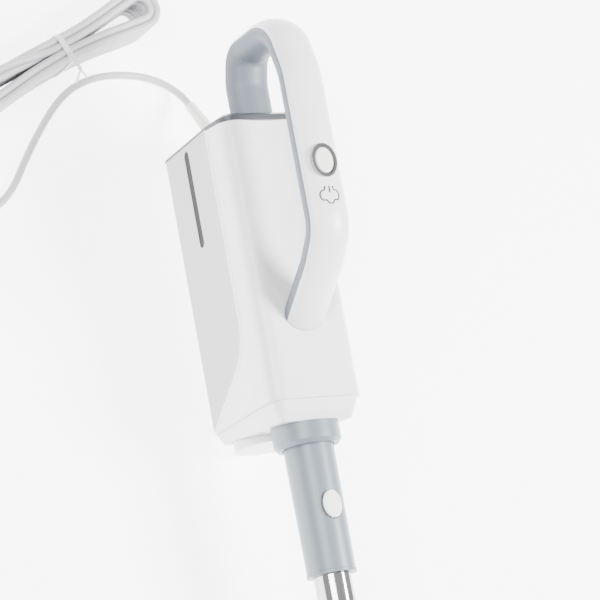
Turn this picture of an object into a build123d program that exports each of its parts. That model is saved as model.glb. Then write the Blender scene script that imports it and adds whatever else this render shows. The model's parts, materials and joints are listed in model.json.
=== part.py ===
from build123d import *
import math
import os

# A steam mop lying on its back: the mop head stands flat on the floor, the pole is tilted
# right back at the head's hinge, and the main unit rests on its lower rear edge.
#
# World frame: origin on the floor under the tilt hinge, +Z up, +Y along the pole towards the
# handle, +X across. The pole and the main unit are drawn upright, in the pole frame: +Z up the
# pole from the tilt hinge, -Y to the front. Main-unit heights are measured from UNIT_BASE.

# ---- driving dimensions, millimetres and degrees ---------------------------------------------
HINGE_HEIGHT = 45.0      # tilt hinge above the floor
UNIT_BASE = 838.0        # underside of the housing, up the pole from the tilt hinge

HOUSING_TOP = 228.0      # height of the white housing
FRONT_Y = -29.5          # front face, from the pole's axis
SIDE_X = 38.5            # half width at the side crease
REAR_X = 30.0            # half width at the rear corners
TANK_REAR_Y = 84.2       # rear face of the tank cover
TANK_STEP = 1.2          # the tank cover sits this far inside the front housing's surface
WALL = 2.5               # moulded wall
SEAM_Z = 14.0            # seam between the housing and the base cap
REAR_CHAMFER_Z = 20.4    # where the lower rear chamfer starts on the rear face
CREASE_Z = 60.0          # where the side crease turns from upright to diagonal
SCOOP_HALF_WIDTH = 24.3  # shallow scoop in the front face, behind the grip
SCOOP_DEPTH = 2.6
SCOOP_Z = 84.0           # its lower end
SCOOP_FADE = 18.0        # height over which it deepens from there
SCOOP_R = (SCOOP_HALF_WIDTH ** 2 + SCOOP_DEPTH ** 2) / (2 * SCOOP_DEPTH)

TUBE_R = 14.0            # chrome tube
TUBE_WALL = 1.0
SLEEVE_TOP_R = 18.7
SLEEVE_END_R = 18.0
SLEEVE_END = -112.0      # lower end of the sleeve, from UNIT_BASE
COLLAR_R = 25.1
COLLAR_LENGTH = 17.0
SLEEVE_TOP = -4.0        # upper end of the sleeve, inside the collar
RUNNING_GAP = 0.05       # radial clearance of tube, spigot and pins
SPIGOT_BASE_R = 11.0     # steam spigot in the base cap
SPIGOT_R = 3.0
SPIGOT_LOW = -43.0       # its lower end, in the tube's hose

GRIP_HALF_WIDTH = 17.0
GRIP_FRONT = 9.5         # grip section in front of the loop's centre line
GRIP_BACK = 12.5         # and behind it
GRIP_SEAM = 3.0          # seam between shell and liner, in front of the centre line
HANDLE_SCREW_X = (-6.0, 6.0)
HANDLE_SCREW_Z = 77.0
HANDLE_SCREW_DEPTH = 5.0
SCREW_R = 1.5

HEAD_WIDTH = 290.0
HEAD_DEPTH = 150.0
PAD_THICKNESS = 8.0
BASE_TOP = 16.0          # top of the head's base plate

CAP_R = 25.6             # tank cap
CAP_Y = 56.0             # its centre, behind the pole's axis

LATCH_R = 3.9            # latch pins under the release buttons
LATCH_PLAY = 0.3         # between a latch pin and its button's stem
LATCH_TRAVEL = 2.1       # press that brings a latch pin flush with the tube
UPPER_BUTTON_Z = UNIT_BASE - 63.0
LOWER_BUTTON_Z = 100.0
TUBE_LOW = 128.0         # lower end of the chrome tube, above the tilt hinge
TUBE_HIGH = UNIT_BASE - 30.0

CORD_D = 5.8
PLUG_PIN_D = 4.8
PLUG_PIN_GAP = 19.0
PLUG_SHANK_R = 1.8       # thinner shank that holds a pin in the plug
PLUG_NECK = 0.5          # length of shank that shows between the plug and the pin

CORD_R = CORD_D / 2
# The lean that lets the tank cover's lower rear edge touch the floor
EDGE_UP = UNIT_BASE + REAR_CHAMFER_Z
REACH = math.hypot(EDGE_UP, TANK_REAR_Y)
LEAN = math.degrees(math.atan2(TANK_REAR_Y, EDGE_UP) - math.asin(HINGE_HEIGHT / REACH))

POLE = Location((0, 0, HINGE_HEIGHT), (-(90 - LEAN), 0, 0))
UNIT = POLE * Location((0, 0, UNIT_BASE))


def save(name, shape, place=None):
    """Write one node's solids, moved to their place."""
    if place is not None:
        shape = place * shape
    solids = list(shape.solids())
    part = solids[0] if len(solids) == 1 else Compound(children=solids)
    part.label = name
    export_step(part, f"parts/{name}.step")


def rod(radius, z0, z1, x=0, y=0):
    """Upright cylinder between two heights."""
    return Pos(x, y, (z0 + z1) / 2) * Cylinder(radius, z1 - z0)


def block(x0, x1, y0, y1, z0, z1):
    """Box from its two corners."""
    centre = Pos((x0 + x1) / 2, (y0 + y1) / 2, (z0 + z1) / 2)
    return centre * Box(x1 - x0, y1 - y0, z1 - z0)


def cone(r0, r1, z0, z1):
    """Upright cone between two heights."""
    return Pos(0, 0, (z0 + z1) / 2) * Cone(r0, r1, z1 - z0)


def along_x(radius, x0, x1, y=0, z=0):
    """Cylinder along X."""
    return Pos((x0 + x1) / 2, y, z) * Rot(0, 90, 0) * Cylinder(radius, x1 - x0)


def along_y(radius, y0, y1, x=0, z=0):
    """Cylinder along Y."""
    return Pos(x, (y0 + y1) / 2, z) * Rot(90, 0, 0) * Cylinder(radius, y1 - y0)


def slab_x(points, x0, x1):
    """Outline in the Y-Z plane, extruded along X between two values."""
    wire = Polyline(*[(x0, y, z) for y, z in points], close=True)
    return extrude(make_face(wire), amount=x1 - x0, dir=(1, 0, 0))


def oval_y(width, height, y0, y1, z):
    """Oval plug along Y: an ellipse of the given width and height, centred at height z."""
    face = Plane((0, y1, z), x_dir=(1, 0, 0), z_dir=(0, -1, 0)) * Ellipse(width / 2, height / 2)
    return extrude(face, amount=y1 - y0)


def pipe(points, radius, bends, bore=0.0):
    """Tube along straight runs joined by arcs of the given radii."""
    path = FilletPolyline(*points, radius=bends)
    plane = Plane(path @ 0, z_dir=path % 0)
    tube = sweep(plane * Circle(radius), path=path)
    if bore:
        tube -= sweep(plane * Circle(bore), path=path)
    return tube


# ---- main unit: housing ----------------------------------------------------------------------
def plan_section(inset):
    """Plan outline of the housing: flat front, straight sides, facets closing to the rear."""
    rear = TANK_REAR_Y + TANK_STEP
    outline = [(-SIDE_X, FRONT_Y), (SIDE_X, FRONT_Y), (SIDE_X, 0), (REAR_X, rear), (-REAR_X, rear),
               (-SIDE_X, 0)]
    face = make_face(Polyline(*outline, close=True))
    face = fillet(face.vertices().group_by(Axis.Y)[0], 12)
    face = fillet(face.vertices().group_by(Axis.Y)[-1], 6)
    return offset(face, amount=-inset, kind=Kind.INTERSECTION) if inset else face


def prism(inset, z0, z1):
    """The housing's plan outline, inset and extruded between two heights."""
    return extrude(Pos(0, 0, z0) * plan_section(inset), amount=z1 - z0)


def underside(lift=0.0):
    """Space above the underside, which rises to the rear; lift moves the floor of it up."""
    rear, slope = 120, 0.066
    front_z, rear_z = -1.2 + lift, -1.2 + lift + slope * (rear + 25)
    points = [(-25, front_z), (rear, rear_z), (rear, 400), (-60, 400), (-60, front_z)]
    return slab_x(points, -60, 60)


def rear_taper(inset=0.0):
    """Space inside the rounded, tapering lower rear end, around the tank's cap."""
    flare = 0.49
    cone_top = 120.0
    low_r = 29.5 - inset
    round_end = Pos(0, CAP_Y, cone_top / 2) * Cone(low_r, low_r + flare * cone_top, cone_top)
    heel = [(-60, -10), (81.6 - inset, -10), (82.3 - inset, 3), (TANK_REAR_Y - inset, REAR_CHAMFER_Z),
            (TANK_REAR_Y + 5, REAR_CHAMFER_Z + 1), (TANK_REAR_Y + 5, 400), (-60, 400)]
    space = block(-60, 60, -60, CAP_Y, -10, 400) + round_end + rod(low_r, -10, 1, 0, CAP_Y)
    space += block(-60, 60, -60, 120, 110, 400)
    return space & slab_x(heel, -60, 60)


def crease_region():
    """Region of the tank cover: behind the upright crease and above the diagonal one."""
    line = [(0, 400), (0, CREASE_Z), (82, 14.5), (120, -6), (120, 400)]
    face = make_face(Polyline(*[(-60, y, z) for y, z in line], close=True)).face()
    corner = face.vertices().sort_by_distance((-60, 0, CREASE_Z))[0]
    return extrude(face.fillet_2d(40, [corner]), amount=120, dir=(1, 0, 0))


def recess():
    """Shallow scoop in the front face, behind the grip."""
    deep = SCOOP_Z + SCOOP_FADE
    tool = cone(SCOOP_R - SCOOP_DEPTH, SCOOP_R, SCOOP_Z, deep) + rod(SCOOP_R, deep, HOUSING_TOP + 20)
    return Pos(0, FRONT_Y + SCOOP_DEPTH - SCOOP_R, 0) * tool


def front_housing():
    outer = prism(0, SEAM_Z, HOUSING_TOP) & rear_taper()
    inner = prism(WALL, SEAM_Z - 1, HOUSING_TOP + 1) & rear_taper(WALL)
    shell = outer - inner - crease_region()
    half = SCOOP_HALF_WIDTH + WALL
    pocket = block(-half, half, FRONT_Y, FRONT_Y + SCOOP_DEPTH + WALL, SCOOP_Z - WALL, HOUSING_TOP)
    shell += pocket & outer
    shell += screw_bosses() & outer
    shell -= lid_skirt_space()
    return drill(shell, HOUSING_SCREWS, SCREW_R, SEAM_Z - 1, 26) - recess() - handle_screw_holes()


def lid_skirt_space():
    """Wedge under the lid's edge, deepest at the front, that the lid's skirt fills."""
    return slab_x([(-60, 225.4), (-16, 225.4), (26, HOUSING_TOP), (-60, HOUSING_TOP)], -60, 60)


def screw_bosses():
    """Posts for the base cap's screws, each on a rib from the side wall."""
    bosses = None
    for x, y in HOUSING_SCREWS:
        x0, x1 = sorted((x, math.copysign(SIDE_X, x)))
        boss = rod(4, SEAM_Z, 28, x, y) + block(x0, x1, y - 1.5, y + 1.5, SEAM_Z, 28)
        bosses = boss if bosses is None else bosses + boss
    return bosses


def tank_cover():
    outer = prism(TANK_STEP, SEAM_Z, HOUSING_TOP) & rear_taper()
    inner = prism(TANK_STEP + WALL, SEAM_Z - 1, HOUSING_TOP + 1) & rear_taper(WALL)
    return ((outer - inner) & crease_region()) - window_solids(0.0, 12)


def handle_screw_holes():
    """Two screw holes through the front wall where the grip's root is fixed."""
    y0, y1 = FRONT_Y - HANDLE_SCREW_DEPTH, FRONT_Y + 12
    holes = [along_y(SCREW_R, y0, y1, x, HANDLE_SCREW_Z) for x in HANDLE_SCREW_X]
    return holes[0] + holes[1]


SLOT_WIDTH = 8.4


def window_solids(grow, depth):
    """Upright slots in the two side facets."""
    slots = []
    for side in (-1, 1):
        slot = SlotOverall(75 + 2 * grow, SLOT_WIDTH + 2 * grow, rotation=90)
        plane = Plane((side * 36.5, 42, 186.5), x_dir=(0.09 * side, -1, 0), z_dir=(side, 0.09, 0))
        slots.append(extrude(plane * slot, amount=-depth))
    return slots[0] + slots[1]


def level_windows():
    """Clear strips in the slots, flush with the facets."""
    band = prism(TANK_STEP + 0.3, 100, 240) - prism(TANK_STEP + WALL, 99, 241)
    return window_solids(0.0, 12) & band


def base_block():
    """Outer shape of the base cap, inset below the seam."""
    top = Pos(0, 0, SEAM_Z) * plan_section(2.0)
    mid = Pos(0, 0, 5) * plan_section(5.5)
    low = Pos(0, 0, -3) * plan_section(9.5)
    tray = loft([low, mid], ruled=True) + loft([mid, top], ruled=True)
    return tray & underside() & rear_taper()


def base_cap():
    """Tray that closes the housing underneath, with the recess of the tank's cap."""
    tray = base_block() - (prism(12, 7.5, SEAM_Z + 1) & rear_taper(5))
    tray -= rod(SPIGOT_BASE_R, -5, 20) + rod(CAP_R + 1.2, -5, 8.5, 0, CAP_Y) + rod(14.6, 8, 20, 0, CAP_Y)
    tray = drill(tray, HOUSING_SCREWS, 2.9, -5, 5)
    return drill(tray, HOUSING_SCREWS, SCREW_R, 4, 20)


def top_cover():
    """Dark crowned lid on top of the housing."""
    low = Pos(0, 0, HOUSING_TOP) * plan_section(0.8)
    edge = Pos(0, 0, HOUSING_TOP + 1.4) * plan_section(0.8)
    crown = Pos(0, 0, HOUSING_TOP + 4.6) * plan_section(7)
    lid = extrude(low, amount=1.4) + loft([edge, crown], ruled=True)
    skirt = (prism(0.8, 220, HOUSING_TOP) & lid_skirt_space()) - prism(WALL, 219, HOUSING_TOP + 1)
    lid += skirt - crease_region()
    lid -= Pos(0, STRAIN_BASE[1], STRAIN_BASE[2]) * Rot(-STRAIN_TILT, 0, 0) * Cylinder(5.2, 40)
    return lid


# ---- handle ----------------------------------------------------------------------------------
GRIP_PATH = [(-7, 215), (-7, 259), (-16, 282.5), (-72, 284), (-84, 243), (-84, 124), (-66, 104),
             (-20, 68)]
GRIP_BENDS = [28, 17, 26, 45, 30, 40]


def grip_wire():
    points = [(0, y, z) for y, z in GRIP_PATH]
    return FilletPolyline(*points, radius=GRIP_BENDS)


def grip_face(v0, v1, inset):
    """Rounded grip section between two offsets from the centre line; +v is to the front."""
    half = GRIP_HALF_WIDTH - inset
    front, back = GRIP_FRONT - inset, GRIP_BACK - inset
    oval = Ellipse(half, front) & Pos(0, front / 2, 0) * Rectangle(2 * half, front)
    rear = Ellipse(half, back) & Pos(0, -back / 2, 0) * Rectangle(2 * half, back)
    window = Pos(0, (v0 + v1) / 2, 0) * Rectangle(80, v1 - v0)
    return (oval + rear) & window


def grip_sweep(face, path):
    start = Plane(path @ 0, x_dir=(1, 0, 0), z_dir=path % 0)
    return sweep(start * face, path=path)


def handle_shell():
    path = grip_wire()
    return seated(grip_sweep(grip_face(GRIP_SEAM, 20, 0), path))


def handle_liner():
    path = grip_wire()
    return seated(grip_sweep(grip_face(-20, GRIP_SEAM, 0), path))


def seated(half):
    """Half of the grip, cut by the housing and the lid, with the button's pocket and screw holes."""
    half -= prism(0, -5, HOUSING_TOP) - recess()
    half -= top_cover_space()
    half -= oval_y(16.4, 21.4, -100, SWITCH_Y, BUTTON_Z)
    half -= block(-8, 8, -86, SWITCH_Y, BUTTON_Z - 9, BUTTON_Z + 17)
    return largest(half) - handle_screw_holes()


def top_cover_space():
    """The lid's volume, filled, so that the handle's post stands on it."""
    edge = Pos(0, 0, HOUSING_TOP + 1.4) * plan_section(0.8)
    crown = Pos(0, 0, HOUSING_TOP + 4.6) * plan_section(7)
    return prism(0.8, 180, HOUSING_TOP + 1.4) + loft([edge, crown], ruled=True)


def largest(shape):
    return shape.solids().sort_by(SortBy.VOLUME)[-1]


# ---- steam button in the grip ----------------------------------------------------------------
BUTTON_Z = 172.5
BUTTON_TRAVEL = 2.5
BUTTON_INNER_Y = -84.5             # underside of the button's cap
SWITCH_Y = -77.8                   # floor of the pocket that the switch lies on
SWITCH_TOP_Y = -79.6


def steam_button():
    cap = oval_y(14.4, 19.4, -95.6, BUTTON_INNER_Y, BUTTON_Z)
    cap = fillet(cap.faces().sort_by(Axis.Y)[0].edges(), 1.2)
    plunger_end = SWITCH_TOP_Y - 0.2 - BUTTON_TRAVEL
    return cap + along_y(2.0, BUTTON_INNER_Y - 1, plunger_end, 0, BUTTON_Z)


def button_ring():
    ring = oval_y(20.4, 25.4, -95.2, -91.0, BUTTON_Z) - oval_y(16.0, 21.0, -99, -79, BUTTON_Z)
    return ring - grip_sweep(grip_face(-20, 20, 0), grip_wire())


def button_spring():
    height = SWITCH_TOP_Y - BUTTON_INNER_Y
    place = Pos(0, (SWITCH_TOP_Y + BUTTON_INNER_Y) / 2, BUTTON_Z) * Rot(90, 0, 0)
    return coil_spring(4.2, 0.7, height, 4, place)


def microswitch():
    body = block(-6, 6, SWITCH_TOP_Y, SWITCH_Y, BUTTON_Z - 7, BUTTON_Z + 15)
    return body + block(-2.0, 2.0, SWITCH_TOP_Y - 0.2, SWITCH_TOP_Y, BUTTON_Z - 2, BUTTON_Z + 2)


def coil_spring(radius, wire, height, turns, place):
    """Spring drawn as a stack of rings joined by a thin tube wall."""
    pitch = (height - 2 * wire) / turns
    body = Cylinder(radius - wire * 0.35, height) - Cylinder(radius - wire * 0.65, height + 1)
    for k in range(turns + 1):
        body += Pos(0, 0, -height / 2 + wire + k * pitch) * Torus(radius - wire / 2, wire / 2)
    return place * body


# ---- main unit: inside -----------------------------------------------------------------------
def tank_block(shrink):
    """Tank body behind the works, stepped down to its neck, shrunk by a wall on every side."""
    side = [(36 + shrink, 44), (64, 25 + shrink), (120, 25 + shrink), (120, 222 - shrink),
            (36 + shrink, 222 - shrink)]
    body = prism(TANK_STEP + WALL + 0.6 + shrink, 10, 224) & slab_x(side, -60, 60)
    return body & rear_taper(WALL + 0.8 + shrink)


def water_tank():
    tank = tank_block(0) + rod(14.0, 8.6, 34, 0, CAP_Y)
    tank -= tank_block(1.8)
    return tank - rod(12.0, 8, 34, 0, CAP_Y) - along_y(1.5, 30, 42, 0, 60)


def tank_cap():
    """Round screw cap under the tank, with a hollow threaded plug."""
    cap = rod(CAP_R, -3.2, 4.0, 0, CAP_Y)
    cap = fillet(cap.faces().sort_by(Axis.Z)[0].edges(), 1.8)
    return cap + rod(11.9, 4.0, 20, 0, CAP_Y) - rod(9.6, 4.2, 21, 0, CAP_Y)


def cap_ring():
    """Bright trim ring between the cap and the base."""
    return rod(CAP_R + 0.4, 4.0, 7.0, 0, CAP_Y) - rod(12.2, 3.0, 8, 0, CAP_Y)


def cap_seal():
    return Pos(0, CAP_Y, 7.8) * Torus(13.1, 0.75)


BOILER_Y = 2.0
HEATER_X = 5.0
HEATER_BEND = 6.0
BOILER_SCREWS = [(19.0 * math.cos(math.radians(a)), BOILER_Y + 19.0 * math.sin(math.radians(a)))
                 for a in (45, 135, 225, 315)]


def boiler_shell():
    body = rod(19, 52, 112, 0, BOILER_Y)
    body = fillet(body.faces().sort_by(Axis.Z)[0].edges(), 5)
    body += rod(22, 106, 112, 0, BOILER_Y) + rod(4.5, 46, 53, 0, BOILER_Y)
    body -= rod(15.5, 56, 113, 0, BOILER_Y) + rod(2.2, 40, 57, 0, BOILER_Y)
    return drill(body, BOILER_SCREWS, 1.2, 105, 113)


def drill(shape, spots, radius, z0, z1):
    """Upright holes at each of the spots."""
    for x, y in spots:
        shape = shape - rod(radius, z0, z1, x, y)
    return shape


def screws(spots, head_r, shank_r, head_z0, head_z1, tip_z):
    """Upright screws: head between two heights, shank to the tip."""
    group = []
    for x, y in spots:
        low, high = sorted((head_z1 if tip_z > head_z1 else head_z0, tip_z))
        group.append(rod(head_r, head_z0, head_z1, x, y) + rod(shank_r, low, high, x, y))
    return Compound(children=[screw.solid() for screw in group])


def boiler_lid():
    lid = rod(22, 112, 116, 0, BOILER_Y) + rod(4.5, 115, 121, -9, BOILER_Y)
    lid = drill(lid, BOILER_SCREWS, 1.2, 111, 117)
    legs = [(HEATER_X, BOILER_Y - HEATER_BEND), (HEATER_X, BOILER_Y + HEATER_BEND)]
    lid = drill(lid, legs, 2.6, 111, 117)
    return lid - rod(2.2, 111, 124, -9, BOILER_Y)


def heating_element():
    """U-shaped heater inside the boiler, with two cold ends through the lid."""
    low, high = BOILER_Y - HEATER_BEND, BOILER_Y + HEATER_BEND
    points = [(HEATER_X, low, 126), (HEATER_X, low, 62), (HEATER_X, high, 62), (HEATER_X, high, 126)]
    return pipe(points, 2.6, [5.4, 5.4])


def boiler_screws():
    return screws(BOILER_SCREWS, 2.6, 1.2, 116, 118.4, 107)


def thermostat():
    x, y = -4, BOILER_Y - 14
    return rod(5.0, 116, 121, x, y) + rod(2.0, 121, 124, x, y)


def thermal_fuse():
    return along_x(2.4, -9, 4, BOILER_Y + 11.8, 118.4)


def pump_body():
    core = rod(13, 146, 178, 0, 4)
    coil = block(-15, 15, -11, 19, 150, 174)
    ends = rod(4, 136, 147, 0, 4) + rod(4, 177, 188, 0, 4)
    return fillet(coil.edges().filter_by(Axis.Z), 3) + core + ends - rod(1.8, 130, 190, 0, 4)


def pump_mounts():
    rings = []
    for z in (140.0, 181.0):
        rings.append(rod(9, z, z + 5, 0, 4) - rod(4, z - 1, z + 6, 0, 4))
    return rings[0] + rings[1]


def suction_hose():
    """Silicone hose from the tank's outlet up to the pump's upper port."""
    points = [(0, 36, 60), (0, 27.4, 60), (0, 27.4, 200), (0, 4, 200), (0, 4, 188)]
    return pipe(points, 3.0, [7, 10, 10], 1.5)


def pressure_hose():
    """Hose from the pump's lower port to the boiler's inlet."""
    points = [(0, 4, 136), (0, 4, 131), (-9, BOILER_Y, 126), (-9, BOILER_Y, 121)]
    return pipe(points, 3.0, [3.2, 3.2], 1.5)


def steam_hose():
    """Hose from the boiler's outlet down to the tube's spigot."""
    points = [(0, BOILER_Y, 46), (0, BOILER_Y, 34), (0, 0, 26), (0, 0, 12)]
    return pipe(points, 3.4, [12, 12], 1.8)


def steam_spigot():
    """Fixed nozzle in the collar that the tube's inner hose plugs onto."""
    disc = rod(SPIGOT_BASE_R, 1, 8)
    return disc + rod(SPIGOT_R, SPIGOT_LOW, 12) - rod(1.5, SPIGOT_LOW - 1, 13)


def control_board():
    board = block(-26, 26, 33.0, 34.6, 120, 205)
    parts_on_board = block(-18, -4, 24.5, 33, 130, 150) + block(6, 18, 26, 33, 165, 200)
    return board + parts_on_board + block(8, 20, 27, 33, 128, 146)


HOUSING_SCREWS = [(-20, -10), (20, -10), (-20, 26), (20, 26)]


def housing_screws():
    """Screws that hold the base cap, sunk in its underside."""
    return screws(HOUSING_SCREWS, 2.9, 1.5, 3.0, 5.0, 22)


def handle_screws():
    """Screws through the front wall into the grip's root."""
    group = []
    inside = FRONT_Y + WALL
    for x in HANDLE_SCREW_X:
        shank = along_y(SCREW_R, FRONT_Y - HANDLE_SCREW_DEPTH, inside, x, HANDLE_SCREW_Z)
        head = along_y(3.0, inside, inside + 2, x, HANDLE_SCREW_Z)
        group.append((shank + head).solid())
    return Compound(children=group)


# ---- strain relief and cord ------------------------------------------------------------------
STRAIN_BASE = (0, 47, 232)
STRAIN_TIP = (0, 78.9, 271.8)
STRAIN_TILT = math.degrees(math.atan2(STRAIN_TIP[1] - STRAIN_BASE[1], STRAIN_TIP[2] - STRAIN_BASE[2]))


def strain_relief():
    """Tapered grommet with shallow grooves, from the lid up and back."""
    length = math.dist(STRAIN_BASE, STRAIN_TIP)
    body = cone(5.2, 4.1, -6, length)
    for k in range(6):
        z = 22 + k * 4.2
        body -= Pos(0, 0, z) * Torus(5.5, 1.0)
    body -= rod(CORD_R, -10, length + 1)
    return Pos(*STRAIN_BASE) * Rot(-STRAIN_TILT, 0, 0) * body


# ---- collar, sleeve, tube --------------------------------------------------------------------
def button_hole(face_r, z):
    """Oval pocket for the button, with a round hole through to the tube for the latch pin."""
    pocket = oval_y(15.6, 21.6, -face_r - 6, -TUBE_R - 2.25, z)
    return pocket + along_y(LATCH_R + 0.4, -TUBE_R - 3, -TUBE_R + 3, 0, z)


def keyway(z, end):
    """Groove in the bore that the latch pin runs in, from the hole to the open end."""
    low, high = sorted((z, end))
    return block(-LATCH_R - 0.4, LATCH_R + 0.4, -TUBE_R - 2.25, -TUBE_R + 1, low, high)


def collar():
    body = rod(COLLAR_R, -COLLAR_LENGTH, 4) - underside()
    body = chamfer(body.faces().sort_by(Axis.Z)[0].edges(), 3.0, 2.4)
    body -= rod(SLEEVE_TOP_R, -COLLAR_LENGTH - 1, SLEEVE_TOP)
    body -= rod(SLEEVE_TOP_R + 0.6, -COLLAR_LENGTH - 1, -COLLAR_LENGTH + 2.5)
    return body - rod(SPIGOT_BASE_R, -COLLAR_LENGTH, 5)


def upper_sleeve():
    """Tapered sleeve on the tube, with a rolled rim."""
    button_z = UPPER_BUTTON_Z - UNIT_BASE
    body = cone(SLEEVE_END_R, SLEEVE_TOP_R, SLEEVE_END, SLEEVE_TOP)
    body += rod(SLEEVE_END_R + 0.5, SLEEVE_END, SLEEVE_END + 2.4)
    body -= rod(TUBE_R + RUNNING_GAP, SLEEVE_END - 1, SLEEVE_TOP + 1)
    return body - button_hole(SLEEVE_TOP_R, button_z) - keyway(button_z, SLEEVE_END - 1)


def release_button(face_r, z):
    """Oval push button in a sleeve, with a stem over the latch pin."""
    inner = -TUBE_R - 2.35 - LATCH_TRAVEL
    cap = oval_y(14.6, 20.6, -face_r - 1.9, inner, z)
    cap = fillet(cap.faces().sort_by(Axis.Y)[0].edges(), 1.0)
    return cap + along_y(LATCH_R - 0.4, inner - 0.5, -TUBE_R - 2.1 - LATCH_PLAY, 0, z)


def latch_pin(z):
    """Spring pin in the inner tube that locks it in the sleeve."""
    shaft = along_y(LATCH_R, -TUBE_R - 2.1, -TUBE_R + 5, 0, z)
    return shaft + along_y(LATCH_R + 1.3, -TUBE_R + 3.4, -TUBE_R + 5, 0, z)


def latch_spring(z):
    height = 5.8
    place = Pos(0, -TUBE_R + 5 + height / 2, z) * Rot(90, 0, 0)
    return coil_spring(3.9, 0.7, height, 4, place)


def chrome_tube():
    tube = rod(TUBE_R, TUBE_LOW, TUBE_HIGH) - rod(TUBE_R - TUBE_WALL, TUBE_LOW - 1, TUBE_HIGH + 1)
    return tube - along_y(LATCH_R + 0.1, -20, -5, 0, UPPER_BUTTON_Z)


def tube_hose():
    """Steam hose through the tube, with a socket for the spigot at its top."""
    socket = UNIT_BASE + SPIGOT_LOW - 1
    hose = rod(2.9, TUBE_LOW + 1, socket) + rod(4.6, socket - 4, TUBE_HIGH - 1)
    hose -= rod(1.5, TUBE_LOW, TUBE_HIGH)
    return hose - rod(SPIGOT_R + RUNNING_GAP, socket, TUBE_HIGH)


# ---- lower connector and neck ----------------------------------------------------------------
ROLL_UP = 31.0           # roll hinge above the tilt hinge
CONNECTOR_R = 19.0
CONNECTOR_LOW = 62.0
CONNECTOR_HIGH = 205.0
SPIGOT_TOP = 118.0


def lower_connector():
    body = cone(CONNECTOR_R, 17.6, CONNECTOR_LOW, CONNECTOR_HIGH)
    body += rod(18.2, CONNECTOR_HIGH - 2.4, CONNECTOR_HIGH)
    body += rod(20.5, CONNECTOR_LOW, CONNECTOR_LOW + 6)
    body -= rod(TUBE_R + RUNNING_GAP, CONNECTOR_LOW - 1, SPIGOT_TOP + 1)
    body -= rod(TUBE_R, TUBE_LOW, CONNECTOR_HIGH + 1)
    body -= rod(2.9, SPIGOT_TOP, TUBE_LOW + 1)
    return body - button_hole(CONNECTOR_R, LOWER_BUTTON_Z) - keyway(LOWER_BUTTON_Z, CONNECTOR_LOW - 1)


def neck_spigot():
    """Swivel fork with the round spigot that carries the pole."""
    spigot = rod(TUBE_R, 61.0, SPIGOT_TOP)
    spigot -= rod(12.0, 84, SPIGOT_TOP + 1)
    flange = rod(18.5, 54, 61.5)
    ears = None
    for side in (-1, 1):
        y0, y1 = sorted((side * 7.2, side * 13.0))
        ear = along_y(10.5, y0, y1, 0, ROLL_UP) + block(-10.5, 10.5, y0, y1, ROLL_UP, 56)
        ears = ear if ears is None else ears + ear
    bridge = block(-10.5, 10.5, -13, 13, 46, 56)
    body = spigot + flange + ears + bridge
    body -= along_y(4.0 + RUNNING_GAP, -20, 20, 0, ROLL_UP)
    body -= along_y(LATCH_R + 0.1, -20, -5, 0, LOWER_BUTTON_Z)
    return body - rod(3.0, 44, 90)


def tilt_yoke():
    """Cross piece: turns in the head's cheeks and carries the swivel fork."""
    barrel = along_x(12.0, -21.0, 21.0)
    tongue = block(-10.5, 10.5, -7.0, 7.0, 0, ROLL_UP) + along_y(10.5, -7.0, 7.0, 0, ROLL_UP)
    body = barrel + tongue
    body -= along_y(4.0, -8, 8, 0, ROLL_UP)
    body -= along_x(5.0 + RUNNING_GAP, -22, 22)
    return body


def roll_pin():
    """Hollow swivel pin, pressed in the yoke's tongue."""
    pin = along_y(4.0, -13.0, 13.0, 0, ROLL_UP)
    return pin - along_y(1.6, -14, 9, 0, ROLL_UP)


# ---- mop head (world frame) ------------------------------------------------------------------
def head_outline(inset=0.0):
    half, depth = HEAD_WIDTH / 2, HEAD_DEPTH / 2
    points = [(-half, -depth), (half, -depth), (half, -depth + 46), (half - 46, depth), (-half + 46, depth),
              (-half, -depth + 46)]
    face = make_face(Polyline(*points, close=True))
    face = fillet(face.vertices(), 22)
    return offset(face, amount=-inset, kind=Kind.ARC) if inset else face


def head_slab(inset, z0, z1):
    return extrude(Pos(0, 0, z0) * head_outline(inset), amount=z1 - z0)


def mop_pad():
    return head_slab(-2.0, 0, PAD_THICKNESS)


def sole_strips():
    """Hook-and-loop strips let into the sole."""
    strips = None
    for x0, x1 in ((-120, -50), (50, 120)):
        strip = block(x0, x1, -48, -28, PAD_THICKNESS, PAD_THICKNESS + 1.5)
        strips = strip if strips is None else strips + strip
    return strips + block(-45, 45, 42, 58, PAD_THICKNESS, PAD_THICKNESS + 1.5)


def steam_holes():
    holes = None
    for k in range(-4, 5):
        for y in (-14.0, 14.0):
            hole = rod(1.5, 5, 30, k * 12.0, y)
            holes = hole if holes is None else holes + hole
    return holes


def head_base():
    plate = head_slab(0, PAD_THICKNESS, BASE_TOP)
    plate -= sole_strips()
    plate -= block(-62, 62, -24, 24, 11.5, BASE_TOP + 1)
    plate = drill(drill(plate, HEAD_SCREWS, 2.9, 7, 12), HEAD_SCREWS, 1.5, 11, 21)
    return plate - steam_holes()


def steam_distributor():
    """Channel plate that spreads the steam over the sole's holes."""
    plate = block(-61.8, 61.8, -23.8, 23.8, 13.0, 16.0)
    plate = plate + (block(-61.8, 61.8, -23.8, 23.8, 11.5, 13.0) - block(-58, 58, -20, 20, 11, 13.5))
    return plate - rod(3.0, 12, 17, 0, 0)


def distributor_seal():
    ring = block(-61, 61, -23, 23, BASE_TOP, BASE_TOP + 1.2) - block(-59, 59, -21, 21, 15, 18)
    return ring


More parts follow.
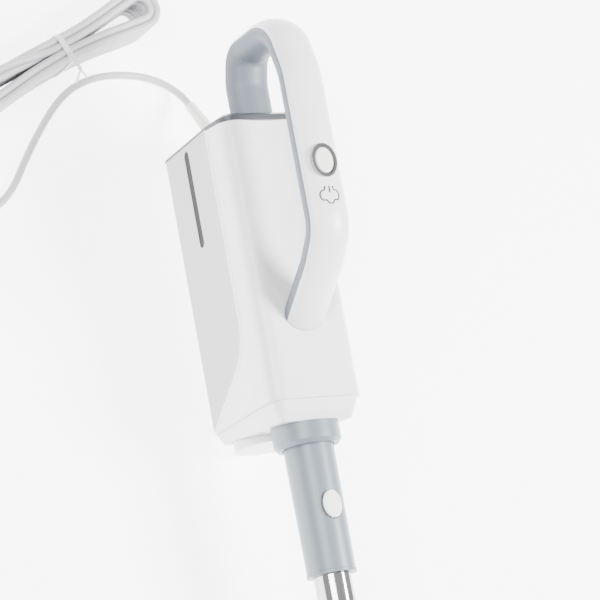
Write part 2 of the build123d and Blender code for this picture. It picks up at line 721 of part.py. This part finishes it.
def head_cover():
    """Low moulded cover with two cheeks that carry the tilt pins."""
    low = Pos(0, 0, BASE_TOP) * head_outline(0)
    mid = Pos(0, 0, 20) * head_outline(3.0)
    high = Pos(0, 0, 25) * head_outline(22.0)
    outer = loft([low, mid], ruled=True) + loft([mid, high], ruled=True)
    inner = head_slab(4.0, BASE_TOP - 1, 17.6) + loft([Pos(0, 0, 17.6) * head_outline(8.0),
                                                     Pos(0, 0, 22.2) * head_outline(26.0)], ruled=True)
    cover = outer - inner
    for side in (-1, 1):
        x0, x1 = sorted((side * 21.4, side * 31.0))
        cheek = slab_x([(-26, 22.3), (-14, 44), (14, 44), (26, 22.3)], x0, x1)
        cover += cheek + along_x(14.0, x0, x1, 0, HINGE_HEIGHT)
    cover -= along_x(5.0, -40, 40, 0, HINGE_HEIGHT)
    return drill(cover, HEAD_SCREWS, SCREW_R, 15, 20.5) - rod(3.0, 20, 27)


def tilt_pins():
    """Two hollow stub pins pressed into the cheeks; the yoke turns on them."""
    pins = None
    for side in (-1, 1):
        x0, x1 = sorted((side * 8.0, side * 30.6))
        pin = along_x(5.0, x0, x1, 0, HINGE_HEIGHT) - along_x(2.0, x0 - 1, x1 + 1, 0, HINGE_HEIGHT)
        pins = pin if pins is None else pins + pin
    return pins


def head_nozzle():
    """Brass nozzle between the cover and the distributor."""
    body = rod(6.0, 16.0, 20.0) + rod(2.9, 20.0, 26.0)
    return body - rod(1.6, 15, 27)


HEAD_SCREWS = [(-100, -55), (100, -55), (-62, 62), (62, 62)]


def head_screws():
    return screws(HEAD_SCREWS, 2.9, 1.5, 9.5, 12, 20)


# ---- cord on the floor (world frame) ---------------------------------------------------------
HANK_END = (-20.0, 1194.5)         # rounded end of the hank nearest the mop
HANK_DIR = (-0.91, -0.4146)        # from that end along the hank
HANK_LAYERS = 6
HANK_WIDTH = 6 * CORD_D
HANK_HEIGHT = HANK_LAYERS * CORD_D
HANK_LENGTH = 191.0
HANK_ENTRY = 2.5 * CORD_D           # height of the strand that the cord joins
HANK_TURN = math.degrees(math.atan2(HANK_DIR[1], HANK_DIR[0]))
HANK = Location((HANK_END[0], HANK_END[1], 0), (0, 0, HANK_TURN))
TIE_WIDTH = 9.0
TIE_THICKNESS = 1.4
PLUG_START = 204.0                 # end of the plug's cord guard, along the hank's line
PLUG_SIDE = 16.0                   # the plug's axis, to the side of the hank's line
PLUG_HEIGHT = 18.6                 # the plug's axis above the floor


def along_hank(s, d):
    """Floor position: s along the hank from its end, d to the side that faces the mop head."""
    ux, uy = HANK_DIR
    return (HANK_END[0] + s * ux - d * uy, HANK_END[1] + s * uy + d * ux, CORD_R)


def cord_route():
    """Points of the cord from the strain relief's mouth, over the floor, to the hank."""
    tip = (UNIT * Location(STRAIN_TIP)).position
    out = (UNIT * Location((0, 90.0, 285.6))).position
    return [
        (tip.X, tip.Y, tip.Z),
        (out.X, out.Y, out.Z),
        (-17, 1140, CORD_R),
        (-42, 1145, CORD_R),
        (-72, 1143, CORD_R),
        (-102, 1129, CORD_R),
        (-136, 1087, CORD_R),
        (-161, 1046.5, CORD_R),
        (-197, 1030, CORD_R),
        (-223, 1040, CORD_R),
        (-235, 1066, CORD_R),
        (-225, 1092, CORD_R),
        (-196.9, 1105.1, HANK_ENTRY),
        (-180.5, 1112.6, HANK_ENTRY),
    ]


def bends(points, share=0.45):
    """Radius of each corner: a share of the shorter run over the tangent of half the turn."""
    vectors = [Vector(*p) for p in points]
    radii = []
    for a, b, c in zip(vectors[:-2], vectors[1:-1], vectors[2:]):
        first, second = b - a, c - b
        turn = math.radians(first.get_angle(second))
        radii.append(share * min(first.length, second.length) / math.tan(turn / 2))
    return radii


def power_cord():
    """The cord's tube from the strain relief to the hank, with a check of its volume."""
    points = cord_route()
    radii = bends(points)
    path = FilletPolyline(*points, radius=radii)
    tube = sweep(Plane(path @ 0, z_dir=path % 0) * Circle(CORD_R), path=path)
    print("cord radii", [round(r, 1) for r in radii])
    print("cord tube length", round(path.length, 1), "volume ratio",
          round(tube.volume / (math.pi * CORD_R ** 2 * path.length), 4))
    return tube - HANK * hank_block()


def hank_block():
    """Outer shape of the hank, drawn along +X from its end, without the tie's groove."""
    half = HANK_WIDTH / 2
    straight = block(half, HANK_LENGTH - half, -half, half, 0, HANK_HEIGHT)
    return straight + rod(half, 0, HANK_HEIGHT, half) + rod(half, 0, HANK_HEIGHT, HANK_LENGTH - half)


def tie_band(inner):
    """Frame-shaped band round the middle of the hank."""
    half = HANK_WIDTH / 2 - inner
    x0 = (HANK_LENGTH - TIE_WIDTH) / 2
    return block(x0, x0 + TIE_WIDTH, -half, half, inner, HANK_HEIGHT - inner)


def cord_hank():
    return hank_block() - (tie_band(-1) - tie_band(TIE_THICKNESS))


def cord_tie():
    return tie_band(0) - tie_band(TIE_THICKNESS)


def plug_axis():
    x, y, _ = along_hank(PLUG_START, -PLUG_SIDE)
    return Location((x, y, PLUG_HEIGHT), (0, 0, HANK_TURN)) * Location((0, 0, 0), (0, 90, 0))


def plug_lead():
    """Short free stretch of cord between the hank and the plug's guard."""
    x, y, _ = along_hank(HANK_LENGTH - 12, -PLUG_SIDE)
    start = Vector(x, y, PLUG_HEIGHT)
    end = plug_axis().position
    lead = Plane(start, z_dir=end - start) * Circle(CORD_R)
    return extrude(lead, amount=(end - start).length) - HANK * hank_block()


def plug_body():
    """Round plug with a tapered cord guard, drawn along +Z from the guard's end."""
    guard = cone(CORD_R + 1.2, 7.0, 0, 24)
    grip = cone(11.0, 16.0, 22, 40)
    flange = fillet(rod(18.4, 40, 50).edges(), 2.0)
    body = guard + grip + flange
    for y in (-PLUG_PIN_GAP / 2, PLUG_PIN_GAP / 2):
        body -= rod(PLUG_SHANK_R, 44, 52, 0, y)
    return body


def plug_pins():
    pins = []
    for y in (-PLUG_PIN_GAP / 2, PLUG_PIN_GAP / 2):
        pin = rod(PLUG_PIN_D / 2, 50 + PLUG_NECK, 69, 0, y)
        pin = fillet(pin.faces().sort_by(Axis.Z)[-1].edges(), 1.2)
        pins.append((pin + rod(PLUG_SHANK_R, 44, 51, 0, y)).solid())
    return Compound(children=pins)


# ---- writing the nodes -----------------------------------------------------------------------
def write_head():
    save("mop_pad", mop_pad())
    save("sole_strips", sole_strips())
    save("head_base", head_base())
    save("steam_distributor", steam_distributor())
    save("distributor_seal", distributor_seal())
    save("head_cover", head_cover())
    save("tilt_pins", tilt_pins())
    save("head_nozzle", head_nozzle())
    save("head_screws", head_screws())


def write_neck_and_pole():
    save("tilt_yoke", tilt_yoke(), POLE)
    save("roll_pin", roll_pin(), POLE)
    save("neck_spigot", neck_spigot(), POLE)
    save("lower_connector", lower_connector(), POLE)
    save("lower_release_button", release_button(CONNECTOR_R, LOWER_BUTTON_Z), POLE)
    save("lower_latch_pin", latch_pin(LOWER_BUTTON_Z), POLE)
    save("lower_latch_spring", latch_spring(LOWER_BUTTON_Z), POLE)
    save("chrome_tube", chrome_tube(), POLE)
    save("tube_hose", tube_hose(), POLE)
    save("upper_release_button", release_button(SLEEVE_TOP_R - 0.4, UPPER_BUTTON_Z), POLE)
    save("upper_latch_pin", latch_pin(UPPER_BUTTON_Z), POLE)
    save("upper_latch_spring", latch_spring(UPPER_BUTTON_Z), POLE)


def write_unit():
    save("upper_sleeve", upper_sleeve(), UNIT)
    save("collar", collar(), UNIT)
    save("front_housing", front_housing(), UNIT)
    save("tank_cover", tank_cover(), UNIT)
    save("level_windows", level_windows(), UNIT)
    save("base_cap", base_cap(), UNIT)
    save("top_cover", top_cover(), UNIT)
    save("handle_shell", handle_shell(), UNIT)
    save("handle_liner", handle_liner(), UNIT)
    save("button_ring", button_ring(), UNIT)
    save("steam_button", steam_button(), UNIT)
    save("button_spring", button_spring(), UNIT)
    save("microswitch", microswitch(), UNIT)
    save("water_tank", water_tank(), UNIT)
    save("tank_cap", tank_cap(), UNIT)
    save("cap_ring", cap_ring(), UNIT)
    save("cap_seal", cap_seal(), UNIT)
    save("boiler_shell", boiler_shell(), UNIT)
    save("boiler_lid", boiler_lid(), UNIT)
    save("boiler_screws", boiler_screws(), UNIT)
    save("heating_element", heating_element(), UNIT)
    save("thermostat", thermostat(), UNIT)
    save("thermal_fuse", thermal_fuse(), UNIT)
    save("pump_body", pump_body(), UNIT)
    save("pump_mounts", pump_mounts(), UNIT)
    save("suction_hose", suction_hose(), UNIT)
    save("pressure_hose", pressure_hose(), UNIT)
    save("steam_hose", steam_hose(), UNIT)
    save("steam_spigot", steam_spigot(), UNIT)
    save("control_board", control_board(), UNIT)
    save("housing_screws", housing_screws(), UNIT)
    save("handle_screws", handle_screws(), UNIT)
    save("strain_relief", strain_relief(), UNIT)


def write_cord():
    save("power_cord", power_cord())
    save("cord_hank", cord_hank(), HANK)
    save("cord_tie", cord_tie(), HANK)
    save("plug_lead", plug_lead())
    save("plug_body", plug_body(), plug_axis())
    save("plug_pins", plug_pins(), plug_axis())


if __name__ == "__main__":
    os.makedirs("parts", exist_ok=True)
    print("lean of the pole, degrees", round(LEAN, 3))
    write_head()
    write_neck_and_pole()
    write_unit()
    write_cord()
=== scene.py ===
import json
import math

import bmesh
import bpy
from mathutils import Matrix, Vector
from mathutils.bvhtree import BVHTree


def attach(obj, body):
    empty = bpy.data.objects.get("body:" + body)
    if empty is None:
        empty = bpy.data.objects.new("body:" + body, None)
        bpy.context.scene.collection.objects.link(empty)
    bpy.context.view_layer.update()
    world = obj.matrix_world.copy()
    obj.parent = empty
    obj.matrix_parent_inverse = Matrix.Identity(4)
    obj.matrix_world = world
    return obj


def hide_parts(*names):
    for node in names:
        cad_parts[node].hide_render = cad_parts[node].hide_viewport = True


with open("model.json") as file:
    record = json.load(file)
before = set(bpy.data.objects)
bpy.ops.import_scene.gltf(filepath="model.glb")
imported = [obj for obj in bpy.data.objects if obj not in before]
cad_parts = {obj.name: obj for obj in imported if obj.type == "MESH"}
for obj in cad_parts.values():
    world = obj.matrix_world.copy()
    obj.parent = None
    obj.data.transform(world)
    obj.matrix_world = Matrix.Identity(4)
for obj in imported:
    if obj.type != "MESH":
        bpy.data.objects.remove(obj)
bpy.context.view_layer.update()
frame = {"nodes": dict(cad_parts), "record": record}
MM = 0.001

# ---- frames --------------------------------------------------------------------------------
LEAN = math.radians(2.6116)          # the pole's lean above the floor
HINGE_HEIGHT = 45.0
UNIT_BASE = 838.0                    # underside of the housing, up the pole


def unit(x, y, z):
    """Row-frame point, in metres, from the main unit's own frame in millimetres."""
    up = UNIT_BASE + z
    return Vector((x,
                   up * math.cos(LEAN) + y * math.sin(LEAN),
                   HINGE_HEIGHT + up * math.sin(LEAN) - y * math.cos(LEAN))) * MM


def link(name, data):
    piece = bpy.data.objects.new(name, data)
    bpy.context.scene.collection.objects.link(piece)
    return piece


# ---- camera --------------------------------------------------------------------------------
camera = link("camera", bpy.data.cameras.new("camera"))
camera.data.lens = 204.0
camera.data.sensor_width = 36.0
camera.data.clip_start = 0.1
camera.data.clip_end = 50.0
camera.matrix_world = Matrix((
    (0.8586, 0.0471, -0.5104, -1.2634),
    (-0.2013, 0.9467, -0.2513, 0.3013),
    (0.4714, 0.3185, 0.8224, 2.1492),
    (0, 0, 0, 1)))
bpy.context.scene.camera = camera

# ---- the cord, with its hank ---------------------------------------------------------------
CORD_D = 5.8
CORD_R = CORD_D / 2
CORD_ROUTE = [(0, 1.11224, 0.01675), (0, 1.12653, 0.00629), (-0.017, 1.140, 0.0029),
              (-0.042, 1.145, 0.0029), (-0.072, 1.143, 0.0029), (-0.102, 1.129, 0.0029),
              (-0.136, 1.087, 0.0029), (-0.161, 1.0465, 0.0029), (-0.197, 1.030, 0.0029),
              (-0.223, 1.040, 0.0029), (-0.235, 1.066, 0.0029), (-0.225, 1.092, 0.0029),
              (-0.1969, 1.1051, 0.0145), (-0.1805, 1.1126, 0.0145)]
HANK_END = (-20.0, 1194.5)           # near end of the hank, on the floor
HANK_DIR = (-0.91, -0.4146)          # from there towards its far end
HANK_HALF = 17.4                     # half its width
HANK_LENGTH = 191.0
TIED_FROM, TIED_TO = 70.0, 120.0     # stretch that the tie keeps narrow
OUTER, INNER = 14.5, 8.7             # half widths of the two nested columns of strands, at the folds
PINCH = 5.8                          # the tie draws each column in by this much
# Column and layer of each turn, then of the end: three outer turns down, six inner up, three outer down
HANK_SLOTS = [(OUTER, 3), (OUTER, 2), (OUTER, 1)] + [(INNER, k) for k in range(1, 7)]
HANK_SLOTS += [(OUTER, 6), (OUTER, 5), (OUTER, 4), (OUTER, 3)]
CHANGE_START, CHANGE_END, CHANGE_STEPS = 104.0, 160.0, 7


def along_hank(s, d, z):
    """Row-frame point, in metres: s along the hank, d to the side facing the head, z up."""
    ux, uy = HANK_DIR
    return Vector((HANK_END[0] + s * ux - d * uy, HANK_END[1] + s * uy + d * ux, z)) * MM


def layer_z(layer):
    return CORD_R + CORD_D * (layer - 1)


def fold(centre, radius, z, side, shift=0.0):
    """Control points of a half-circle fold, with the points that lead in and out."""
    lead = radius * math.tan(math.radians(22.5))
    out = radius / math.cos(math.radians(22.5))
    points = [(centre - side * lead, -side * radius, z)]
    for angle in (-67.5, -22.5, 22.5, 67.5):
        a = math.radians(angle)
        points.append((centre + side * (out * math.cos(a) + shift), side * out * math.sin(a), z))
    points.append((centre - side * lead, side * radius, z))
    return points


def change(start, end):
    """Points where a strand moves from its slot to the next one, keeping a diameter from its neighbours."""
    (r0, k0), (r1, k1) = start, end
    points = []
    for i in range(CHANGE_STEPS):
        t = i / (CHANGE_STEPS - 1)
        u = (1 - math.cos(math.pi * t)) / 2
        up, down = math.sqrt(2 * u - u * u), math.sqrt(1 - u * u)
        side = r0 + (r1 - r0) * u
        z = layer_z(k0)
        if r0 == r1:
            z = layer_z(k0) + CORD_D * up if k1 > k0 else layer_z(k1) + CORD_D * down
        elif r1 > r0:
            z = layer_z(k0 - 1) + CORD_D * (up + down)
        points.append((CHANGE_START + t * (CHANGE_END - CHANGE_START), PINCH - side, z))
    return points


def hank_points():
    """Control points of every turn of the hank, then of the way out to the plug."""
    points = []
    for turn, (slot, following) in enumerate(zip(HANK_SLOTS[:-1], HANK_SLOTS[1:])):
        radius, z = slot[0], layer_z(slot[1])
        if turn:
            points += fold(HANK_LENGTH - HANK_HALF, radius, z, 1)
        points += [(TIED_TO, radius - PINCH, z), (TIED_FROM, radius - PINCH, z)]
        points += fold(HANK_HALF, radius, z, -1, 0.8 * math.sin(2.4 * turn))
        points.append((TIED_FROM, PINCH - radius, z))
        points += change(slot, following)
    points += [(174, -10.5, 14.6), (187, -13.0, 16.6), (197, -15.4, 18.4), (206, -16, 18.6)]
    return [along_hank(*p) for p in points]


def nurbs(name, points, radius):
    """Round tube on a smooth quadratic spline with these control points."""
    data = bpy.data.curves.new(name, "CURVE")
    data.dimensions = "3D"
    data.bevel_depth = radius
    data.bevel_resolution = 5
    data.resolution_u = 6
    data.use_fill_caps = True
    spline = data.splines.new("NURBS")
    spline.points.add(len(points) - 1)
    for point, place in zip(spline.points, points):
        point.co = (*place, 1.0)
    spline.order_u = 3
    spline.use_endpoint_u = True
    return link(name, data)


cord = nurbs("cord", CORD_ROUTE + hank_points(), CORD_R * MM)

# ---- materials -----------------------------------------------------------------------------


def srgb(r, g, b):
    return tuple(((c / 255 + 0.055) / 1.055) ** 2.4 if c > 10 else c / 3294.6 for c in (r, g, b))


def surface(name, colour, rough=0.35, vary=0.03, scale=25.0, stretch=(1, 1, 1), grain=0.0,
            grain_scale=1800.0, soften=0.0, **sockets):
    """Procedural finish: mottled colour and roughness, fine moulded grain and softened edges."""
    material = bpy.data.materials.new(name)
    material.use_nodes = True
    nodes, links = material.node_tree.nodes, material.node_tree.links
    shader = nodes["Principled BSDF"]
    for key, value in sockets.items():
        shader.inputs[key.replace("_", " ")].default_value = value
    where = nodes.new("ShaderNodeTexCoord")
    mapping = nodes.new("ShaderNodeMapping")
    mapping.inputs["Scale"].default_value = stretch
    links.new(where.outputs["Object"], mapping.inputs["Vector"])
    noise = nodes.new("ShaderNodeTexNoise")
    noise.inputs["Scale"].default_value = scale
    noise.inputs["Detail"].default_value = 5.0
    links.new(mapping.outputs["Vector"], noise.inputs["Vector"])
    ramp = nodes.new("ShaderNodeValToRGB")
    ramp.color_ramp.elements[0].position = 0.3
    ramp.color_ramp.elements[1].position = 0.7
    ramp.color_ramp.elements[0].color = (*[c * (1 - vary) for c in colour], 1)
    ramp.color_ramp.elements[1].color = (*[min(1.0, c * (1 + vary)) for c in colour], 1)
    links.new(noise.outputs["Fac"], ramp.inputs["Fac"])
    links.new(ramp.outputs["Color"], shader.inputs["Base Color"])
    spread = nodes.new("ShaderNodeMapRange")
    spread.inputs["To Min"].default_value = max(0.02, rough - 0.05)
    spread.inputs["To Max"].default_value = rough + 0.05
    links.new(noise.outputs["Fac"], spread.inputs["Value"])
    links.new(spread.outputs["Result"], shader.inputs["Roughness"])
    bump = nodes.new("ShaderNodeBump")
    bump.inputs["Strength"].default_value = 0.6
    bump.inputs["Distance"].default_value = grain * MM
    fine = nodes.new("ShaderNodeTexNoise")
    fine.inputs["Scale"].default_value = grain_scale
    links.new(mapping.outputs["Vector"], fine.inputs["Vector"])
    links.new(fine.outputs["Fac"], bump.inputs["Height"])
    if soften:
        edge = nodes.new("ShaderNodeBevel")
        edge.samples = 6
        edge.inputs["Radius"].default_value = soften * MM
        links.new(edge.outputs["Normal"], bump.inputs["Normal"])
    links.new(bump.outputs["Normal"], shader.inputs["Normal"])
    return material


MATERIALS = {
    "white_plastic": surface("white_plastic", srgb(232, 230, 231), 0.34, 0.012, grain=0.03, soften=1.2),
    # tank cover: a grey below the housing's white, painted shade standing in for the shade on the side
    # facet
    "cover_painted_shade": surface("cover_painted_shade", srgb(180, 175, 178), 0.38, 0.012, grain=0.03, soften=0.6),
    # crease bead: near-white, brighter than the housing's white, a painted highlight along the lit crease
    "bead_painted_highlight": surface("bead_painted_highlight", srgb(252, 251, 251), 0.3, 0.01, grain=0.02),
    "grey_plastic": surface("grey_plastic", srgb(107, 116, 124), 0.36, 0.02, grain=0.03, soften=0.6),
    "lid_plastic": surface("lid_plastic", srgb(58, 61, 67), 0.4, 0.03, grain=0.04, soften=0.8),
    "liner_plastic": surface("liner_plastic", srgb(92, 100, 109), 0.5, 0.03, grain=0.06, soften=1.0),
    "dark_plastic": surface("dark_plastic", srgb(48, 49, 52), 0.5, 0.1, grain=0.06, soften=0.5),
    "button_plastic": surface("button_plastic", srgb(240, 237, 234), 0.22, 0.015, grain=0.01, soften=0.5,
                              Coat_Weight=0.4),
    "ring_plastic": surface("ring_plastic", srgb(248, 247, 245), 0.2, 0.01, grain=0.01, soften=0.4),
    "tank_plastic": surface("tank_plastic", srgb(215, 222, 226), 0.15, 0.03, grain=0.01,
                            Transmission_Weight=0.7, IOR=1.49),
    "window": surface("window", srgb(34, 31, 28), 0.5, 0.12, 60.0, (1, 0.2, 1), IOR=1.2),
    "chrome": surface("chrome", (0.45, 0.445, 0.44), 0.1, 0.03, 90.0, (1, 0.04, 1), grain=0.004,
                      Metallic=1.0),
    "steel": surface("steel", (0.55, 0.55, 0.56), 0.3, 0.08, 200.0, grain=0.01, Metallic=1.0),
    "brass": surface("brass", (0.75, 0.6, 0.33), 0.25, 0.08, 120.0, grain=0.01, Metallic=1.0),
    "aluminium": surface("aluminium", (0.6, 0.61, 0.62), 0.5, 0.08, 90.0, grain=0.08, grain_scale=900,
                         Metallic=1.0),
    "silicone": surface("silicone", srgb(226, 222, 214), 0.35, 0.04, grain=0.02, Subsurface_Weight=0.2),
    "seal_rubber": surface("seal_rubber", srgb(38, 38, 39), 0.6, 0.12, grain=0.05),
    "relief_rubber": surface("relief_rubber", srgb(236, 235, 226), 0.5, 0.02, grain=0.04, soften=0.4),
    "cord_rubber": surface("cord_rubber", srgb(186, 185, 188), 0.42, 0.02, 60.0, grain=0.03),
    "tie_plastic": surface("tie_plastic", srgb(222, 222, 226), 0.45, 0.04, grain=0.04),
    "board": surface("board", srgb(30, 92, 52), 0.4, 0.2, 150.0, grain=0.02),
    "hook_strip": surface("hook_strip", srgb(52, 52, 55), 0.9, 0.3, 400.0, grain=0.5, grain_scale=1500),
    "pad_cloth": surface("pad_cloth", srgb(226, 229, 234), 0.95, 0.06, 260.0, grain=0.9, grain_scale=700,
                         Sheen_Weight=0.4, Sheen_Roughness=0.6),
    "print": surface("print", srgb(40, 40, 42), 0.5, 0.1, 300.0, grain=0.01),
}


def finish(piece, slot, body=None):
    piece.data.materials.clear()
    piece.data.materials.append(MATERIALS[slot])
    if body:
        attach(piece, body)
    return piece


for part in frame["record"]["subparts"]:
    finish(frame["nodes"][part["node"]], part["material_slot"])
# the tank cover takes the painted-shade grey in place of the housing's white
frame["nodes"]["tank_cover"].data.materials[0] = MATERIALS["cover_painted_shade"]

# ---- soft pieces and details ---------------------------------------------------------------
TIE_S = 95.5                         # where the tie is, along the hank
TIE_HALF, TIE_LOW, TIE_HIGH = 12.1, 0.5, 35.4
TIE_CORNER, CORNER_STEPS = 5.0, 6
TIE_HALF_WIDTH, TIE_HALF_THICK, TIE_SIDES = 2.6, 0.45, 12


def surface_tree(node):
    """Search tree over a CAD node's mesh, for putting details on its surface."""
    mesh = frame["nodes"][node].data
    return BVHTree.FromPolygons([v.co for v in mesh.vertices], [p.vertices for p in mesh.polygons])


def swept(name, rings):
    """Mesh through a list of equal closed rings of points, itself closed into a loop."""
    mesh = bmesh.new()
    loops = [[mesh.verts.new(p) for p in ring] for ring in rings]
    for a, b in zip(loops, loops[1:] + loops[:1]):
        for i, first in enumerate(a):
            j = (i + 1) % len(a)
            mesh.faces.new((first, a[j], b[j], b[i]))
    bmesh.ops.recalc_face_normals(mesh, faces=mesh.faces)
    data = bpy.data.meshes.new(name)
    mesh.to_mesh(data)
    mesh.free()
    for face in data.polygons:
        face.use_smooth = True
    return link(name, data)


def tie_band():
    """Flat coated band round the bundle, its section a rounded bar."""
    side, low, high = TIE_HALF - TIE_CORNER, TIE_LOW + TIE_CORNER, TIE_HIGH - TIE_CORNER
    outline = []
    for cx, cz, start in ((side, high, 0), (-side, high, 90), (-side, low, 180), (side, low, 270)):
        for k in range(CORNER_STEPS + 1):
            a = math.radians(start + 90 * k / CORNER_STEPS)
            outline.append((cx, cz, math.cos(a), math.sin(a)))
    rings = []
    for cx, cz, nx, nz in outline:
        ring = []
        for k in range(TIE_SIDES):
            a = 2 * math.pi * k / TIE_SIDES
            reach = TIE_CORNER + TIE_HALF_THICK * math.sin(a)
            ring.append(along_hank(TIE_S + TIE_HALF_WIDTH * math.cos(a), cx + nx * reach, cz + nz * reach))
        rings.append(ring)
    return swept("cord_tie_band", rings)


def tie_tail(name, phase, spread):
    """One of the tie's two twisted ends, which part at the tip."""
    points = []
    for k in range(22):
        a = phase + 0.75 * k
        points.append(along_hank(TIE_S + 1.0 * math.cos(a), 4.0 + 0.75 * k, 36.2 + 1.0 * math.sin(a)))
    points.append(along_hank(TIE_S + spread, 23.5, 33.0))
    points.append(along_hank(TIE_S + 1.8 * spread, 27.5, 29.0))
    return nurbs(name, points, 0.7 * MM)


band = finish(tie_band(), "tie_plastic", "main_unit")
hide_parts("cord_tie")
tails = [finish(tie_tail("cord_tie_tail_a", 0.0, 3.0), "tie_plastic", "main_unit"),
         finish(tie_tail("cord_tie_tail_b", math.pi, -3.0), "tie_plastic", "main_unit")]

finish(cord, "cord_rubber", "main_unit")
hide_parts("power_cord", "cord_hank", "plug_lead")


def apply_modifiers(piece):
    """Bake a piece's modifiers into its mesh."""
    graph = bpy.context.evaluated_depsgraph_get()
    baked = bpy.data.meshes.new_from_object(piece.evaluated_get(graph))
    piece.modifiers.clear()
    piece.data = baked


def mop_pad():
    """Thick looped cloth pad: the sole's outline with a soft rounded rim and a tufted pile."""
    pad = link("mop_pad_cloth", frame["nodes"]["mop_pad"].data.copy())
    remesh = pad.modifiers.new("remesh", "REMESH")
    remesh.mode = "VOXEL"
    remesh.voxel_size = 0.0024
    soften = pad.modifiers.new("soften", "SMOOTH")
    soften.iterations = 6
    tufts = bpy.data.textures.new("tufts", "VORONOI")
    tufts.noise_scale = 0.0065
    pile = pad.modifiers.new("pile", "DISPLACE")
    pile.texture = tufts
    pile.texture_coords = "LOCAL"
    pile.strength = 0.0022
    pile.mid_level = 0.7
    apply_modifiers(pad)
    for vertex in pad.data.vertices:
        vertex.co.z = min(max(vertex.co.z, 0.0), 0.0079)
    for face in pad.data.polygons:
        face.use_smooth = True
    return pad


pad = finish(mop_pad(), "pad_cloth", "mop_head")
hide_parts("mop_pad")

# ---- steam symbol under the button ---------------------------------------------------------
shell_tree = surface_tree("handle_shell")
INTO_GRIP = (unit(0, 1, 0) - unit(0, 0, 0)).normalized()
SYMBOL_Z = 147.0
IN_FRONT = -130.0                    # start of the search for the grip's surface
STROKE_R = 0.52


def on_grip(x, z):
    """Point on the grip's front at a place in the symbol, millimetres from its centre."""
    hit = shell_tree.ray_cast(unit(x, IN_FRONT, SYMBOL_Z + z), INTO_GRIP)
    return hit[0] - INTO_GRIP * 0.05 * MM


def stroke(name, points):
    line = nurbs(name, [on_grip(*p) for p in points], STROKE_R * MM)
    return finish(line, "print", "main_unit")


CLOUD = [(3.3, 6.4), (3.2, 3.4), (6.6, 3.2), (8.2, -0.6), (6.2, -4.4), (3.2, -3.6), (1.8, -6.6)]
stroke("steam_symbol_cloud", [(-x, z) for x, z in CLOUD] + CLOUD[::-1])
stroke("steam_symbol_wisp", [(0, 6.4), (0.3, 4.0), (0.3, 1.2)])

# ---- rounded bead along the edge of the housing's side walls -------------------------------
housing_tree = surface_tree("front_housing")
ACROSS = Vector((1, 0, 0))
BESIDE = 60.0                        # start of the search for the side wall
BEAD_R, BEAD_SINK = 1.25, 0.35
BEAD = [(-1.6, 221), (-1.6, 190), (-1.6, 150), (-1.6, 110), (-1.6, 88), (-1.6, 78), (1.2, 67.5), (6.7, 58),
        (14.4, 50.3), (23, 45.3), (33, 39.9), (46, 32.7), (59.2, 25.4), (67.9, 20.5)]


def bead(name, side):
    """Round bead half sunk into one side wall, along its rear edge."""
    points = []
    for y, z in BEAD:
        hit = housing_tree.ray_cast(unit(BESIDE * side, y, z), -ACROSS * side)
        points.append(hit[0] - ACROSS * side * BEAD_SINK * MM)
    # the bead's whiter finish is a painted highlight along the crease
    return finish(nurbs(name, points, BEAD_R * MM), "bead_painted_highlight", "main_unit")


bead("crease_bead_left", -1)
bead("crease_bead_right", 1)

# ---- floor and light -----------------------------------------------------------------------
floor_mesh = bpy.data.meshes.new("floor")
floor_mesh.from_pydata([(-20, -20, -0.0004), (20, -20, -0.0004), (20, 20, -0.0004), (-20, 20, -0.0004)], [],
                       [(0, 1, 2, 3)])
floor = link("floor", floor_mesh)
floor.data.materials.append(surface("floor_paint", (0.93, 0.93, 0.93), 0.7, 0.004, 3.0, grain=0.01,
                                    Emission_Color=(1, 1, 1, 1), Emission_Strength=4.2))


def softbox(name, place, target, size, power):
    """Round area light that faces a target."""
    lamp = link(name, bpy.data.lights.new(name, "AREA"))
    lamp.data.shape = "DISK"
    lamp.data.size = size
    lamp.data.energy = power
    lamp.location = place
    lamp.rotation_euler = (Vector(target) - Vector(place)).to_track_quat("-Z", "Y").to_euler()


MIDDLE = unit(0, 0, 110)
softbox("key", (1.5, 0.5, 1.9), MIDDLE, 1.0, 210.0)
softbox("fill", (-1.3, 1.1, 1.8), MIDDLE, 1.2, 70.0)

world = bpy.data.worlds.new("studio")
bpy.context.scene.world = world
world.use_nodes = True
world.node_tree.nodes["Background"].inputs["Color"].default_value = (1, 1, 1, 1)
world.node_tree.nodes["Background"].inputs["Strength"].default_value = 0.8
